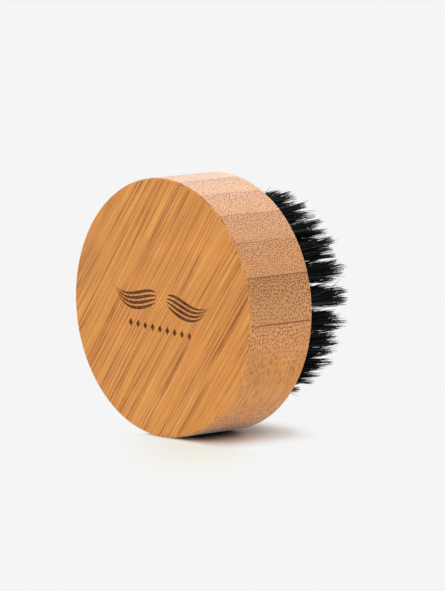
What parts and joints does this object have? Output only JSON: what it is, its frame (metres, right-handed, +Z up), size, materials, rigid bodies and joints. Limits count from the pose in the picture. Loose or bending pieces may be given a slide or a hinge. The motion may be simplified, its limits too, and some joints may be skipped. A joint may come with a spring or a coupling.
{
  "type": "beard brush",
  "caption": "Palm-size round beard brush: a disc of edge-glued bamboo strips with rings of short black bristle tufts set in holes in its back.",
  "frame": {"origin": "centre of the flat palm face of the bamboo disc", "axes": "The brush stands on its rim. +Y runs along the disc's axis from the palm face to the bristle tips, +Z is up, and the floor is the plane one disc radius below the origin."},
  "size_m": [0.055, 0.0339, 0.055],
  "materials": {
    "bamboo": "satin",
    "bristle": "satin",
    "anchor_wire": "satin"
  },
  "bodies": {
    "root": {"bamboo_strip_1": "bamboo", "bamboo_strip_2": "bamboo", "bamboo_strip_3": "bamboo", "bamboo_strip_4": "bamboo", "bamboo_strip_5": "bamboo", "bamboo_strip_6": "bamboo", "bamboo_strip_7": "bamboo", "bamboo_strip_8": "bamboo", "bamboo_strip_9": "bamboo", "tuft_centre": "bristle", "tufts_ring_1": "bristle", "tufts_ring_2": "bristle", "tuft_ring_3_01": "bristle", "tuft_ring_3_02": "bristle", "tuft_ring_3_03": "bristle", "tuft_ring_3_04": "bristle", "tuft_ring_3_05": "bristle", "tuft_ring_3_06": "bristle", "tuft_ring_3_07": "bristle", "tuft_ring_3_08": "bristle", "tuft_ring_3_09": "bristle", "tuft_ring_3_10": "bristle", "tuft_ring_3_11": "bristle", "tuft_ring_3_12": "bristle", "tuft_ring_3_13": "bristle", "tuft_ring_3_14": "bristle", "tuft_ring_3_15": "bristle", "tuft_ring_3_16": "bristle", "tuft_ring_3_17": "bristle", "tuft_ring_3_18": "bristle", "tuft_ring_4_01": "bristle", "tuft_ring_4_02": "bristle", "tuft_ring_4_03": "bristle", "tuft_ring_4_04": "bristle", "tuft_ring_4_05": "bristle", "tuft_ring_4_06": "bristle", "tuft_ring_4_07": "bristle", "tuft_ring_4_08": "bristle", "tuft_ring_4_09": "bristle", "tuft_ring_4_10": "bristle", "tuft_ring_4_11": "bristle", "tuft_ring_4_12": "bristle", "tuft_ring_4_13": "bristle", "tuft_ring_4_14": "bristle", "tuft_ring_4_15": "bristle", "tuft_ring_4_16": "bristle", "tuft_ring_4_17": "bristle", "tuft_ring_4_18": "bristle", "tuft_ring_4_19": "bristle", "tuft_ring_4_20": "bristle", "tuft_ring_4_21": "bristle", "tuft_ring_4_22": "bristle", "tuft_ring_4_23": "bristle", "tuft_ring_4_24": "bristle", "anchor_centre": "anchor_wire", "anchors_ring_1": "anchor_wire", "anchors_ring_2": "anchor_wire", "anchors_ring_3": "anchor_wire", "anchors_ring_4": "anchor_wire"}
  },
  "joints": []
}
